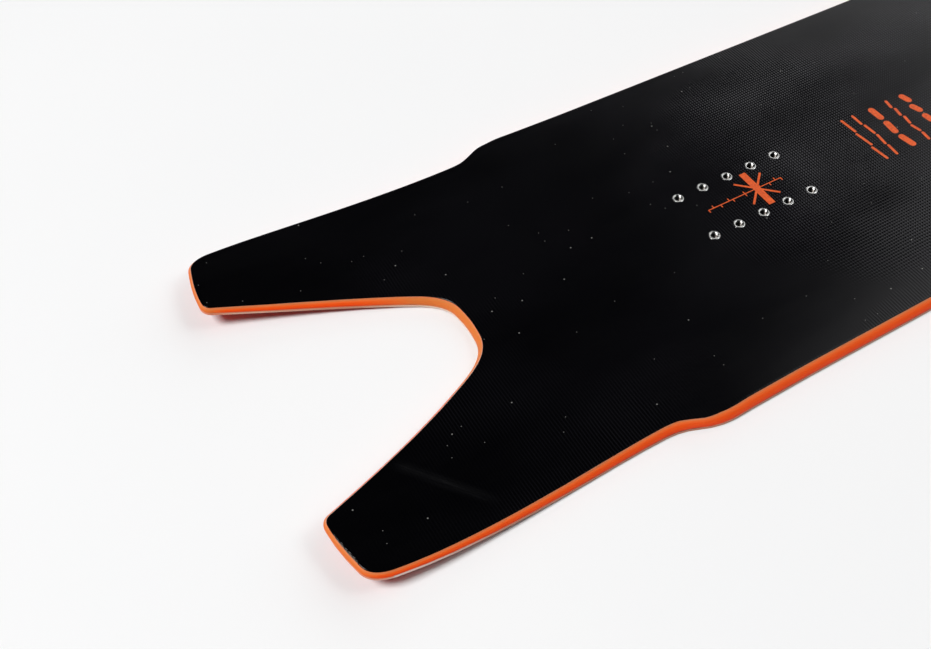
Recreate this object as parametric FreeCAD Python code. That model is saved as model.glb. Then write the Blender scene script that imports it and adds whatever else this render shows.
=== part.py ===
"""Swallowtail powder snowboard, 154 cm, as a laminate of separate pieces.

Millimetres. +Y points to the nose, +Z is up, +X is the right-hand side seen
from above with the nose ahead. The origin is on the running base's level,
halfway between the nose tip and the tail tips, on the centreline.
"""
import FreeCAD
import Part
import math
import os

from FreeCAD import Vector

# ---------------------------------------------------------------- dimensions
LENGTH = 1540.0
HALF_LENGTH = LENGTH / 2

# Thickness of the whole laminate, and of its sheets.
THICK_MIDDLE = 9.0
THICK_TIPS = 5.2
BASE_T = 1.3
BOTTOM_GLASS_T = 0.7
FOIL_T = 0.2
TOP_GLASS_T = 0.8
TOPSHEET_T = 0.5

# Side view: flat base, one arc up to the nose and one up to the tail.
NOSE_RISE_START_Y = 430.0
NOSE_RISE_R = 1000.0
TAIL_RISE_START_Y = -607.0
TAIL_RISE_R = 1063.0
NOSE_TAPER_START_Y = 244.0
TAIL_TAPER_START_Y = -517.0

# Side curve of the base, from nose to tail: (y, half width, dx/dy).
SIDE_NODES = [
    (520.0, 150.0, 0.0),
    (440.0, 147.3, 0.058),
    (-90.0, 131.3, 0.0),
    (-283.0, 133.5, -0.0195),
    (-472.0, 137.2, -0.022),
    (-516.0, 138.7, -0.036),
    (-531.0, 139.4, 0.0),
    (-551.5, 134.9, 0.449),
    (-572.0, 130.4, 0.0),
    (-641.0, 133.3, -0.052),
    (-714.0, 135.85, 0.0),
    (-748.0, 134.5, 0.085),
]
NOSE_ROUNDNESS = 0.5523

# Right tail tip and right half of the notch: point and direction of travel.
TIP_END_OUTER = ((124.0, -765.2), (-1.0, -0.28))
TIP_END_INNER = ((92.0, -770.0), (-1.0, 0.0))
FLANK_START = ((84.5, -764.9), (-0.365, 0.931))
FLANK_END = ((37.3, -656.2), (-0.466, 0.885))
FLOOR_START = ((12.0, -631.2), (-1.0, 0.13))
FLOOR_MIDDLE = ((0.0, -630.3), (-1.0, 0.0))

# Bevel of the sidewall: it starts just above the steel edge and the foil.
BEVEL_START_H = 2.35
RIM_INSET_MIDDLE = 4.2
RIM_INSET_TIPS = 2.3

# The bevel narrows where the sides step in.
SIDE_STEP_Y = -551.0
SIDE_STEP_HALF_RUN = 14.0
SIDE_STEP_INSET_LOSS = 1.4

# Rim pieces.
EDGE_W = 2.0
TOOTH_LENGTH = 5.0
TOOTH_W = 6.0
TOOTH_PITCH = 12.0
TOOTH_CLEARANCE = 0.3
NOSE_TEETH_SIDE_GAP = 18.0
EDGE_END_Y = -750.0
SIDEWALL_W = 10.0
CORE_TAIL_END_Y = -758.0
SPACER_START_Y = 690.0
SIDE_NOTCH_SPLIT_X = 100.0
NOTCH_ZONE_TOP_Y = -540.0

# Wood core.
STRIP_W = 20.0
STRIPS_EACH_SIDE = 6
WOODS = ["poplar", "beech"]

# Threaded inserts, M6, in two packs of 2 x 5.
REAR_PACK_Y = -417.0
STANCE = 560.0
FRONT_PACK_Y = REAR_PACK_Y + STANCE
INSERT_ROW_X = 20.0
INSERT_PITCH = 20.0
INSERTS_PER_ROW = 5
INSERT_BARREL_R = 4.0
INSERT_FLANGE_R = 8.0
INSERT_FLANGE_T = 1.0
INSERT_BORE_R = 2.5
INSERT_FLOOR_T = 0.6
INSERT_MOUTH_CHAMFER = 0.4
INSERT_SINK = 0.1

# Construction allowances: tool solids stand this far past the board.
FAR = LENGTH
OVER = 40.0
PROFILE_OVER = 10.0
BEVEL_OVER = 3.0
TOOL_BELOW_Z = -20.0
TOOL_ABOVE_Z = 120.0
RIM_SAMPLES = 12
TANGENT_STEP = 0.001
DUST_VOLUME = 0.5


# ------------------------------------------------------------ height formulas
def base_height(y):
    """Height of the running base above the floor."""
    if y > NOSE_RISE_START_Y:
        run = y - NOSE_RISE_START_Y
        return NOSE_RISE_R - math.sqrt(NOSE_RISE_R**2 - run**2)
    if y < TAIL_RISE_START_Y:
        run = TAIL_RISE_START_Y - y
        return TAIL_RISE_R - math.sqrt(TAIL_RISE_R**2 - run**2)
    return 0.0


def thickness(y):
    """Thickness of the laminate: constant between the packs, then tapered."""
    loss = THICK_MIDDLE - THICK_TIPS
    if y > NOSE_TAPER_START_Y:
        share = (y - NOSE_TAPER_START_Y) / (HALF_LENGTH - NOSE_TAPER_START_Y)
        return THICK_MIDDLE - loss * share
    if y < TAIL_TAPER_START_Y:
        share = (TAIL_TAPER_START_Y - y) / (TAIL_TAPER_START_Y + HALF_LENGTH)
        return THICK_MIDDLE - loss * share
    return THICK_MIDDLE


def level(y, from_base=None, from_top=None):
    """Height of a layer's face, counted up from the base or down from the top."""
    if from_top is None:
        return base_height(y) + from_base
    return base_height(y) + thickness(y) - from_top


def base_bottom(y):
    return level(y, from_base=0.0)


def base_top(y):
    return level(y, from_base=BASE_T)


def bottom_glass_top(y):
    return level(y, from_base=BASE_T + BOTTOM_GLASS_T)


def foil_top(y):
    return level(y, from_base=BASE_T + BOTTOM_GLASS_T + FOIL_T)


def core_top(y):
    return level(y, from_top=TOPSHEET_T + TOP_GLASS_T)


def top_glass_top(y):
    return level(y, from_top=TOPSHEET_T)


def board_top(y):
    return level(y, from_top=0.0)


def rim_inset(y):
    """How far the topsheet's rim lies inside the base outline."""
    share = (THICK_MIDDLE - thickness(y)) / (THICK_MIDDLE - THICK_TIPS)
    inset = RIM_INSET_MIDDLE - (RIM_INSET_MIDDLE - RIM_INSET_TIPS) * share
    off = abs(y - SIDE_STEP_Y) / SIDE_STEP_HALF_RUN
    if off < 1:
        inset -= SIDE_STEP_INSET_LOSS * (1 - off**2) ** 2
    return inset


# --------------------------------------------------------------- plan outline
def bezier(start, start_dir, end, end_dir, handle):
    """Poles of a cubic from start to end, with handles along both directions."""
    return [
        start,
        (start[0] + start_dir[0] * handle, start[1] + start_dir[1] * handle),
        (end[0] - end_dir[0] * handle, end[1] - end_dir[1] * handle),
        end,
    ]


def round_corner(first, second):
    """Cubic close to a circular arc between two points with directions."""
    (start, d0), (end, d1) = first, second
    d0 = unit(d0)
    d1 = unit(d1)
    turn = math.acos(max(-1.0, min(1.0, d0[0] * d1[0] + d0[1] * d1[1])))
    chord = math.hypot(end[0] - start[0], end[1] - start[1])
    handle = chord / 3 if turn < 0.01 else (
        4 / 3 * math.tan(turn / 4) * chord / (2 * math.sin(turn / 2))
    )
    return bezier(start, d0, end, d1, handle)


def unit(direction):
    length = math.hypot(*direction)
    return (direction[0] / length, direction[1] / length)


def nose_segment():
    """Quarter of the nose, from the tip on the centreline to the widest point."""
    y_wide, x_wide, _ = SIDE_NODES[0]
    return [
        (0.0, HALF_LENGTH),
        (x_wide * NOSE_ROUNDNESS, HALF_LENGTH),
        (x_wide, y_wide + (HALF_LENGTH - y_wide) * NOSE_ROUNDNESS),
        (x_wide, y_wide),
    ]


def side_segments():
    """Cubic pieces of the side curve, nose to tail."""
    pieces = []
    for (y0, x0, s0), (y1, x1, s1) in zip(SIDE_NODES, SIDE_NODES[1:]):
        third = (y1 - y0) / 3
        pieces.append(
            [(x0, y0), (x0 + s0 * third, y0 + third), (x1 - s1 * third, y1 - third), (x1, y1)]
        )
    return pieces


def tail_segments():
    """Outer tail corner, tip end, inner corner, notch flank and half the floor."""
    y_end, x_end, slope = SIDE_NODES[-1]
    side_end = ((x_end, y_end), (-slope, -1.0))
    stops = [side_end, TIP_END_OUTER, TIP_END_INNER, FLANK_START, FLANK_END]
    stops += [FLOOR_START, FLOOR_MIDDLE]
    return [round_corner(first, second) for first, second in zip(stops, stops[1:])]


def mirrored(poles):
    return [(-x, y) for x, y in reversed(poles)]


def point_and_normal(poles, share):
    """Point on a cubic, and the direction to the right of travel (inwards)."""
    b0, b1, b2, b3 = poles
    a, b = 1 - share, share
    point = tuple(
        a**3 * p0 + 3 * a * a * b * p1 + 3 * a * b * b * p2 + b**3 * p3
        for p0, p1, p2, p3 in zip(b0, b1, b2, b3)
    )
    run = tuple(
        3 * (a * a * (p1 - p0) + 2 * a * b * (p2 - p1) + b * b * (p3 - p2))
        for p0, p1, p2, p3 in zip(b0, b1, b2, b3)
    )
    run = unit(run)
    return point, (run[1], -run[0])


def curve_edge(points, start_dir, end_dir):
    """One smooth edge through points, with the two end directions given."""
    curve = Part.BSplineCurve()
    curve.interpolate(Points=points, InitialTangent=start_dir, FinalTangent=end_dir)
    return curve.toShape()


def rim_edge(poles, inset_at, height_at):
    """Edge that follows one outline piece at an inset and a height given by y."""

    def place(share):
        (x, y), (nx, ny) = point_and_normal(poles, share)
        inset = inset_at(y)
        return Vector(x + nx * inset, y + ny * inset, height_at(y + ny * inset))

    steps = [place(i / RIM_SAMPLES) for i in range(RIM_SAMPLES + 1)]
    per_sample = 1 / TANGENT_STEP / RIM_SAMPLES
    start_dir = (place(TANGENT_STEP) - place(0.0)) * per_sample
    end_dir = (place(1.0) - place(1 - TANGENT_STEP)) * per_sample
    return curve_edge(steps, start_dir, end_dir)


def closed_rim(inset_at, height_at):
    """Closed wire round the whole board."""
    right = [nose_segment()] + side_segments() + tail_segments()
    left = [mirrored(poles) for poles in reversed(right)]
    return Part.Wire([rim_edge(poles, inset_at, height_at) for poles in right + left])


def board_envelope():
    """Solid whose walls are the board's outer walls, sheets left uncut."""

    def bevel_inset(y):
        bevel_h = thickness(y) - BEVEL_START_H
        return rim_inset(y) * (bevel_h + BEVEL_OVER) / bevel_h

    def no_inset(_):
        return 0.0

    return Part.makeLoft(
        [
            closed_rim(no_inset, lambda y: TOOL_BELOW_Z),
            closed_rim(no_inset, lambda y: level(y, from_base=BEVEL_START_H)),
            closed_rim(bevel_inset, lambda y: level(y, from_top=-BEVEL_OVER)),
            closed_rim(bevel_inset, lambda y: TOOL_ABOVE_Z),
        ],
        True,
        True,
    )


# ---------------------------------------------------------------- tool solids
def box(x0, x1, y0, y1):
    size = (x1 - x0, y1 - y0, TOOL_ABOVE_Z - TOOL_BELOW_Z)
    return Part.makeBox(*size, Vector(x0, y0, TOOL_BELOW_Z))


def prism(edges):
    face = Part.Face(Part.Wire(edges))
    return face.extrude(Vector(0, 0, TOOL_ABOVE_Z - TOOL_BELOW_Z))


def line(start, end):
    return Part.LineSegment(start, end).toShape()


def lines_below(edges, spread):
    """Three lines that close an open chain of edges past the tail."""
    start = edges[0].valueAt(edges[0].FirstParameter)
    end = edges[-1].valueAt(edges[-1].LastParameter)
    below_start = Vector(start.x + spread, -HALF_LENGTH - OVER, TOOL_BELOW_Z)
    below_end = Vector(end.x - spread, -HALF_LENGTH - OVER, TOOL_BELOW_Z)
    return [line(end, below_end), line(below_end, below_start), line(below_start, start)]


def inside_sides(inset):
    """Prism of all that lies further in than inset from the nose and the sides."""
    right = [nose_segment()] + side_segments()
    left = [mirrored(poles) for poles in reversed(right)]

    def edge(poles):
        return rim_edge(poles, lambda y: inset, lambda y: TOOL_BELOW_Z)

    edges = [edge(poles) for poles in left + right]
    return prism(edges + lines_below(edges, 0.0))


def notch_prism(margin):
    """Prism of the notch, widened by margin into the board."""
    right = tail_segments()[3:]
    left = [mirrored(poles) for poles in reversed(right)]
    edges = [
        rim_edge(poles, lambda y: margin, lambda y: TOOL_BELOW_Z) for poles in right + left
    ]
    return prism(edges + lines_below(edges, margin))


def tangent_arc(start, start_dir, end):
    """Circular arc from start, leaving along start_dir, to end (all in the YZ plane)."""
    normal = Vector(0, -start_dir.z, start_dir.y)
    chord = end - start
    radius = chord.dot(chord) / (2 * chord.dot(normal))
    centre = start + normal * radius
    middle = centre + ((start + end) * 0.5 - centre).normalize() * abs(radius)
    return Part.Arc(start, middle, end).toShape()


def profile_edges(height):
    """Edges of one layer face in side view, with its tail and nose ends; height(y) is its level."""
    stops = [
        -HALF_LENGTH - PROFILE_OVER,
        TAIL_RISE_START_Y,
        TAIL_TAPER_START_Y,
        NOSE_TAPER_START_Y,
        NOSE_RISE_START_Y,
        HALF_LENGTH + PROFILE_OVER,
    ]
    points = [Vector(-HALF_LENGTH, y, height(y)) for y in stops]
    tail_arc = tangent_arc(points[1], (points[1] - points[2]).normalize(), points[0])
    nose_arc = tangent_arc(points[4], (points[4] - points[3]).normalize(), points[5])
    lines = [line(p, q) for p, q in zip(points[1:4], points[2:5])]
    return [tail_arc] + lines + [nose_arc], points[0], points[-1]


def slab(lower, upper):
    """Sheet between two layer faces, wider than the board."""
    low_edges, low_tail, low_nose = profile_edges(lower)
    high_edges, high_tail, high_nose = profile_edges(upper)
    edges = low_edges + [line(low_nose, high_nose)] + high_edges + [line(high_tail, low_tail)]
    face = Part.Face(Part.Wire(Part.__sortEdges__(edges)))
    return face.extrude(Vector(LENGTH, 0, 0))


# ----------------------------------------------------------------- small parts
def insert_positions(pack_y):
    half_run = INSERT_PITCH * (INSERTS_PER_ROW - 1) / 2
    return [
        (row_x, pack_y - half_run + i * INSERT_PITCH)
        for row_x in (-INSERT_ROW_X, INSERT_ROW_X)
        for i in range(INSERTS_PER_ROW)
    ]


def cylinder(x, y, radius, z0, z1):
    return Part.makeCylinder(radius, z1 - z0, Vector(x, y, z0))


def insert_socket(x, y):
    """Space that one insert takes: flange recess and barrel hole."""
    floor = BASE_T + BOTTOM_GLASS_T
    recess = cylinder(x, y, INSERT_FLANGE_R, floor, floor + INSERT_FLANGE_T)
    hole = cylinder(x, y, INSERT_BARREL_R, floor, THICK_MIDDLE + OVER)
    return recess.fuse(hole)


def threaded_insert(x, y):
    """Steel insert: round flange, barrel, blind M6 bore with a chamfered mouth."""
    floor = BASE_T + BOTTOM_GLASS_T
    mouth = THICK_MIDDLE - INSERT_SINK
    flange = cylinder(x, y, INSERT_FLANGE_R, floor, floor + INSERT_FLANGE_T)
    barrel = cylinder(x, y, INSERT_BARREL_R, floor, mouth)
    bore = cylinder(x, y, INSERT_BORE_R, floor + INSERT_FLOOR_T, mouth)
    chamfer = Part.makeCone(
        INSERT_BORE_R,
        INSERT_BORE_R + INSERT_MOUTH_CHAMFER,
        INSERT_MOUTH_CHAMFER,
        Vector(x, y, mouth - INSERT_MOUTH_CHAMFER),
    )
    return flange.fuse(barrel).removeSplitter().cut(bore).cut(chamfer)


def tooth_comb():
    """Row of boxes across the board; each keeps one pair of anchor teeth."""
    boxes = []
    wide_y = SIDE_NODES[0][0]
    y = EDGE_END_Y + TOOTH_PITCH
    while y < wide_y:
        boxes.append(box(-HALF_LENGTH, HALF_LENGTH, y, y + TOOTH_W))
        y += TOOTH_PITCH
    x = TOOTH_PITCH / 2
    while x < SIDE_NODES[0][1] - NOSE_TEETH_SIDE_GAP:
        boxes.append(box(x, x + TOOTH_W, wide_y + TOOTH_PITCH, HALF_LENGTH + OVER))
        boxes.append(box(-x - TOOTH_W, -x, wide_y + TOOTH_PITCH, HALF_LENGTH + OVER))
        x += TOOTH_PITCH
    return Part.makeCompound(boxes)


# ---------------------------------------------------------------------- output
def solids_of(shape):
    """All solids that are more than boolean dust."""
    return [solid for solid in shape.Solids if solid.Volume > DUST_VOLUME]


def save(name, shape):
    solids = solids_of(shape)
    result = solids[0] if len(solids) == 1 else Part.makeCompound(solids)
    result.exportStep(f"parts/{name}.step")
    print(
        f"{name}: {len(solids)} solid(s), {len(result.Faces)} faces, "
        f"{result.Volume / 1000:.1f} cm3, valid {result.isValid()}",
        flush=True,
    )


def save_pair(name, right_shape):
    """Save a right-hand piece and its mirror image on the left."""
    save(f"{name}_right", right_shape)
    save(f"{name}_left", right_shape.mirror(Vector(0, 0, 0), Vector(1, 0, 0)))


# ------------------------------------------------------------------ assembly
def notch_zone():
    """Space of the rim pieces that belong to the notch and not to the sides."""
    return box(-SIDE_NOTCH_SPLIT_X, SIDE_NOTCH_SPLIT_X, -FAR, NOTCH_ZONE_TOP_Y)


def spacer_zone():
    return box(-FAR, FAR, SPACER_START_Y, FAR)


def right_half():
    return box(0, FAR, -FAR, FAR)


def steel_side(shape):
    """Keep the part of a rim ring that lies along the steel edges."""
    return shape.cut(notch_zone()).cut(box(-FAR, FAR, -FAR, EDGE_END_Y))


def make_lower_sheets(envelope):
    """Running base, steel edges with their teeth, and lower glass."""
    inside_edge = inside_sides(EDGE_W)
    inside_tooth_ends = inside_sides(EDGE_W + TOOTH_LENGTH)
    inside_teeth = inside_sides(EDGE_W + TOOTH_LENGTH + TOOTH_CLEARANCE)

    base_layer = slab(base_bottom, base_top).common(envelope)
    glass_layer = slab(base_top, bottom_glass_top).common(envelope)
    edge_layer = slab(base_bottom, bottom_glass_top).common(envelope)
    edge_ring = steel_side(edge_layer.cut(inside_edge))
    save("base_sheet", base_layer.cut(edge_ring))
    save("bottom_glass", glass_layer.cut(steel_side(glass_layer.cut(inside_teeth))))

    teeth_band = steel_side(glass_layer.common(inside_edge).cut(inside_tooth_ends))
    teeth = teeth_band.common(tooth_comb()).common(right_half())
    edge_body = edge_ring.common(right_half())
    save_pair("steel_edge", edge_body.fuse(teeth).removeSplitter())


def make_foils(envelope, inside_sidewall):
    """Rubber foil over the steel edges, and the ring that both foils fill."""
    foil_layer = slab(bottom_glass_top, foil_top).common(envelope)
    foil_ring = steel_side(foil_layer.cut(inside_sidewall)).cut(spacer_zone())
    save_pair("edge_foil", foil_ring.common(right_half()))
    return foil_ring


def make_core_layer(envelope, inside_sidewall, foil_ring, sockets):
    """Sidewalls, nose spacer and wood core, which share one layer."""
    core_region = inside_sidewall.cut(notch_prism(SIDEWALL_W))
    core_region = core_region.cut(box(-FAR, FAR, -FAR, CORE_TAIL_END_Y)).cut(spacer_zone())
    uncut_core = slab(bottom_glass_top, core_top)
    core_layer = uncut_core.common(envelope)
    ring = core_layer.cut(core_region).cut(spacer_zone()).cut(foil_ring)
    save_pair("sidewall", ring.common(right_half()).cut(notch_zone()))
    save("sidewall_notch", ring.common(notch_zone()))
    save("nose_spacer", core_layer.common(spacer_zone()))

    wood = uncut_core.common(core_region)
    for index in range(-STRIPS_EACH_SIDE, STRIPS_EACH_SIDE + 1):
        save(strip_name(index), wood.common(strip_box(index)).cut(sockets))


def strip_name(index):
    side = "left" if index < 0 else "right" if index > 0 else "middle"
    number = f"_{abs(index)}" if index else ""
    return f"core_strip_{WOODS[abs(index) % len(WOODS)]}_{side}{number}"


def strip_box(index):
    """Space of one core strip; the outermost ones reach to the sidewalls."""
    inner = (abs(index) - 0.5) * STRIP_W
    outer = FAR if abs(index) == STRIPS_EACH_SIDE else inner + STRIP_W
    left, right = (inner, outer) if index >= 0 else (-outer, -inner)
    return box(left, right, -FAR, FAR)


def make_upper_sheets(envelope, sockets):
    save("top_glass", slab(core_top, top_glass_top).common(envelope).cut(sockets))
    save("topsheet", slab(top_glass_top, board_top).common(envelope).cut(sockets))


def make_inserts():
    for name, pack_y in (("rear", REAR_PACK_Y), ("front", FRONT_PACK_Y)):
        inserts = [threaded_insert(x, y) for x, y in insert_positions(pack_y)]
        save(f"{name}_inserts", Part.makeCompound(inserts))


def main():
    os.makedirs("parts", exist_ok=True)
    envelope = board_envelope()
    inside_sidewall = inside_sides(SIDEWALL_W)
    positions = insert_positions(REAR_PACK_Y) + insert_positions(FRONT_PACK_Y)
    sockets = Part.makeCompound([insert_socket(x, y) for x, y in positions])

    make_lower_sheets(envelope)
    foil_ring = make_foils(envelope, inside_sidewall)
    make_core_layer(envelope, inside_sidewall, foil_ring, sockets)
    make_upper_sheets(envelope, sockets)
    make_inserts()


main()
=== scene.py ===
"""Looks of the swallowtail powder snowboard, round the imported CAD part.

Metres, in the row frame: +Y to the nose, +Z up, +X to the right with the nose
ahead, the origin on the running base's level in the middle of the board.
"""

import bmesh
import bpy
import math
import random

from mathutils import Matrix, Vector
from mathutils.geometry import delaunay_2d_cdt
from mathutils.kdtree import KDTree

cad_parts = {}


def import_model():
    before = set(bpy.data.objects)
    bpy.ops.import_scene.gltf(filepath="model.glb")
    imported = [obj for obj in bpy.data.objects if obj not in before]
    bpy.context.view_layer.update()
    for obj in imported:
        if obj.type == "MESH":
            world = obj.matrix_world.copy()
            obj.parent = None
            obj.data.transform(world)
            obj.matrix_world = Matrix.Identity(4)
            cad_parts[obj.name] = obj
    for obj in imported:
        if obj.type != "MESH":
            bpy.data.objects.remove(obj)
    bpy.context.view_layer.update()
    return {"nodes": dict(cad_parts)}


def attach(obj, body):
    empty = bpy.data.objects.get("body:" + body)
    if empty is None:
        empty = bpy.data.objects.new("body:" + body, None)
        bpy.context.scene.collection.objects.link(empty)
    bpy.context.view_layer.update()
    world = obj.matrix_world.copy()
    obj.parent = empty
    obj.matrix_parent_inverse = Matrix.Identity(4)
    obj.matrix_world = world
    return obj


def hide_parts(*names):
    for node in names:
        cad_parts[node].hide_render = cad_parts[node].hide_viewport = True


MM = 0.001

# ------------------------------------------------------- dimensions of the part
HALF_LENGTH = 770 * MM
THICK_MIDDLE = 9.0 * MM
THICK_TIPS = 5.2 * MM
TOPSHEET_T = 0.5 * MM
TOP_GLASS_T = 0.8 * MM
SIDEWALL_BOTTOM = 2.0 * MM
FOIL_T = 0.2 * MM
NOSE_RISE_START_Y = 430 * MM
NOSE_RISE_R = 1000 * MM
TAIL_RISE_START_Y = -607 * MM
TAIL_RISE_R = 1063 * MM
NOSE_TAPER_START_Y = 244 * MM
TAIL_TAPER_START_Y = -517 * MM

# Side curve in millimetres, from nose to tail: (y, half width, dx/dy).
SIDE_NODES = [
    (520.0, 150.0, 0.0),
    (440.0, 147.3, 0.058),
    (-90.0, 131.3, 0.0),
    (-283.0, 133.5, -0.0195),
    (-472.0, 137.2, -0.022),
    (-516.0, 138.7, -0.036),
    (-531.0, 139.4, 0.0),
    (-551.5, 134.9, 0.449),
    (-572.0, 130.4, 0.0),
    (-641.0, 133.3, -0.052),
    (-714.0, 135.85, 0.0),
    (-748.0, 134.5, 0.085),
]
NOSE_ROUNDNESS = 0.5523

# Tail tip and notch on the right, in millimetres: point and direction of travel.
TAIL_STOPS = [
    ((124.0, -765.2), (-1.0, -0.28)),
    ((92.0, -770.0), (-1.0, 0.0)),
    ((84.5, -764.9), (-0.365, 0.931)),
    ((37.3, -656.2), (-0.466, 0.885)),
    ((12.0, -631.2), (-1.0, 0.13)),
    ((0.0, -630.3), (-1.0, 0.0)),
]

BEVEL_START_H = 2.35 * MM
RIM_INSET_MIDDLE = 4.2 * MM
RIM_INSET_TIPS = 2.3 * MM
SIDE_STEP_Y = -551 * MM
SIDE_STEP_HALF_RUN = 14 * MM
SIDE_STEP_INSET_LOSS = 1.4 * MM
SIDEWALL_W = 10 * MM
SIDEWALL_ROUNDING = 1.5
EDGE_END_Y = -750 * MM
CORE_TAIL_END_Y = -758 * MM
TIP_INNER_X = 92.5 * MM
TIP_OUTER_X = 124.5 * MM
SPACER_START_Y = 690 * MM
SIDE_NOTCH_SPLIT_X = 100 * MM

REAR_PACK_Y = -417 * MM
FRONT_PACK_Y = 143 * MM
INSERT_ROW_X = 20 * MM
INSERT_PITCH = 20 * MM
INSERTS_PER_ROW = 5
INSERT_BOTTOM = 2.0 * MM
INSERT_FLANGE_TOP = 3.0 * MM
INSERT_MOUTH = 8.9 * MM
INSERT_BARREL_R = 4.0 * MM
INSERT_FLANGE_R = 8.0 * MM
INSERT_FLOOR = 2.6 * MM
INSERT_NICK = 0.15 * MM
THREAD_PITCH = 1.0 * MM
THREAD_CREST_R = 2.5 * MM
THREAD_ROOT_R = 3.0 * MM
THREAD_FLANK_GAIN = 1.25
MOUTH_BEAD_H = 0.4 * MM

TOPSHEET_EDGE_R = 0.25 * MM
TOPSHEET_FLAT_RING = 0.5 * MM

# Chips in the topsheet's rim on the right tail tip: x, half width and depth.
CHIPS = [
    (120.0 * MM, 0.9 * MM, 0.6 * MM),
    (117.8 * MM, 1.4 * MM, 0.8 * MM),
    (114.6 * MM, 2.2 * MM, 0.9 * MM),
    (111.2 * MM, 1.6 * MM, 0.7 * MM),
    (107.4 * MM, 2.4 * MM, 0.8 * MM),
    (103.5 * MM, 1.8 * MM, 0.6 * MM),
    (100.2 * MM, 1.0 * MM, 0.4 * MM),
]

# ----------------------------------------------------------- print dimensions
INK_T = 0.03 * MM
INK_OVERPRINT = 0.015 * MM
SCALE_HALF_LENGTH = 30 * MM
SCALE_LINE_W = 0.7 * MM
TICK_LENGTH = 2.4 * MM
CENTIMETRE = 10 * MM
HALF_INCH = 12.7 * MM
MARKER_Y = REAR_PACK_Y + 10 * MM
MARKER_BAR_HALF = 16.5 * MM
MARKER_BAR_W = 5.0 * MM
MARKER_CROSS_HALF = 11 * MM
MARKER_CROSS_W = 1.5 * MM
DASH_HALF_SPAN = 24 * MM
DASH_GAP_SHARE = 0.7
DASH_LIFT = 0.6 * MM
DASH_TILT = 0.8 * MM

# Rows of dashes: y, line width and number of dashes.
DASH_ROWS = [
    (-315 * MM, 2.0 * MM, 3),
    (-305 * MM, 2.0 * MM, 4),
    (-290 * MM, 5.0 * MM, 3),
    (-276 * MM, 2.2 * MM, 5),
    (-262 * MM, 5.0 * MM, 4),
]

# ------------------------------------------------- where the finishes change
# Each pair holds the places where a gradual change begins and where it is complete.
WEAVE_PITCH_ALONG = 2.0 * MM
WEAVE_PITCH_ACROSS = 2.2 * MM
WEAVE_WANDER = 0.4 * MM
WEAVE_CLEAR_Y = (-500 * MM, -370 * MM)
WEAVE_TIPS_Y = (-740 * MM, -640 * MM)
HATCH_HALF_W = (115 * MM, 80 * MM)
HATCH_Y = (-460 * MM, -370 * MM)
SCUFF_START = (73 * MM, -717 * MM)
SCUFF_RUN = (46 * MM, 36 * MM)
SCUFF_HALF_W = 5 * MM
SCUFF_BEGIN = (-4 * MM, 6 * MM)
SCUFF_END = (64 * MM, 50 * MM)
SCUFF_GRAIN_ALONG = 45
SCUFF_GRAIN_BESIDE = 900
LARGE_SPECK_R = 0.60 * MM
SMALL_SPECK_R = 0.35 * MM
# Painted backlight on the sidewall at the notch's end, and a paler brown at the tips' ends.
BACKLIT_NOTCH_Y = (-690 * MM, -650 * MM)
BACKLIT_NOTCH_HALF_W = (55 * MM, 35 * MM)
TINTED_TIPS_Y = (-756 * MM, -766 * MM)
SIDE_RIM_Y = (-740 * MM, -680 * MM)
CREAMY_NOTCH_Y = (-700 * MM, -650 * MM)
CREAMY_NOTCH_HALF_W = (60 * MM, 40 * MM)
ORANGE_TIPS_Y = (-752 * MM, -764 * MM)
# Heights where the painted shade inside the inserts' bores begins and where it is full.
INSERT_SHADE_Z = (8.5 * MM, 7.2 * MM)

# ------------------------------------------------------------- mesh fineness
RIM_STEP = 2.0 * MM
TIP_STEP = 0.5 * MM
RIM_MIN_STEPS = 8
CAP_GRID = 10 * MM
GRID_MARGIN = 4 * MM
HOLE_SIDES = 48
HOLE_GAP = 0.05 * MM
WELD_DISTANCE = 1e-6
CUT_TOLERANCE = 1e-7
TOPSHEET_EDGE_STEPS = 4
SIDEWALL_STEPS = 10
MOUTH_BEAD_STEPS = 12
THREAD_STEPS = 40
STROKE_END_STEPS = 8
SPACER_MARGIN_AHEAD = 5 * MM
SPACER_MARGIN_BEHIND = 12 * MM
SHARP_ANGLE = math.radians(32)

# ------------------------------------------------------------------- studio
CAMERA_LOCATION = (0.43611, -0.85064, 0.59224)
CAMERA_DEGREES = (39.7468, 2.2427, 60.6118)
CAMERA_LENS = 47.62
CAMERA_SENSOR_W = 36.0
CAMERA_CLIP_START = 0.01
FLOOR_HALF_W = 6.0
FLOOR_DROP = 0.1 * MM
LIT_POINT = (0.0, -0.45, 0.0)
LAMP_DISTANCE = 8.0
AMBIENT = 0.04

# Softboxes: name, degrees from the nose towards +X, degrees up, width, height, watts.
SOFTBOXES = [
    ("key", 186, 54, 2.9, 2.9, 580),
    ("broad", 28, 46, 2.6, 2.6, 75),
    ("side", -3, 34, 6.4, 8.0, 180),
    ("backdrop", -50, 18, 6.0, 4.4, 125),
]


# ---------------------------------------------------------- height of the board
def base_height(y):
    """Height of the running base above the floor."""
    if y > NOSE_RISE_START_Y:
        return NOSE_RISE_R - math.sqrt(NOSE_RISE_R**2 - (y - NOSE_RISE_START_Y) ** 2)
    if y < TAIL_RISE_START_Y:
        return TAIL_RISE_R - math.sqrt(TAIL_RISE_R**2 - (TAIL_RISE_START_Y - y) ** 2)
    return 0.0


def thickness(y):
    """Thickness of the laminate, thinner towards both ends."""
    share = 0.0
    if y > NOSE_TAPER_START_Y:
        share = (y - NOSE_TAPER_START_Y) / (HALF_LENGTH - NOSE_TAPER_START_Y)
    if y < TAIL_TAPER_START_Y:
        share = (TAIL_TAPER_START_Y - y) / (TAIL_TAPER_START_Y + HALF_LENGTH)
    return THICK_MIDDLE - (THICK_MIDDLE - THICK_TIPS) * share


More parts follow.
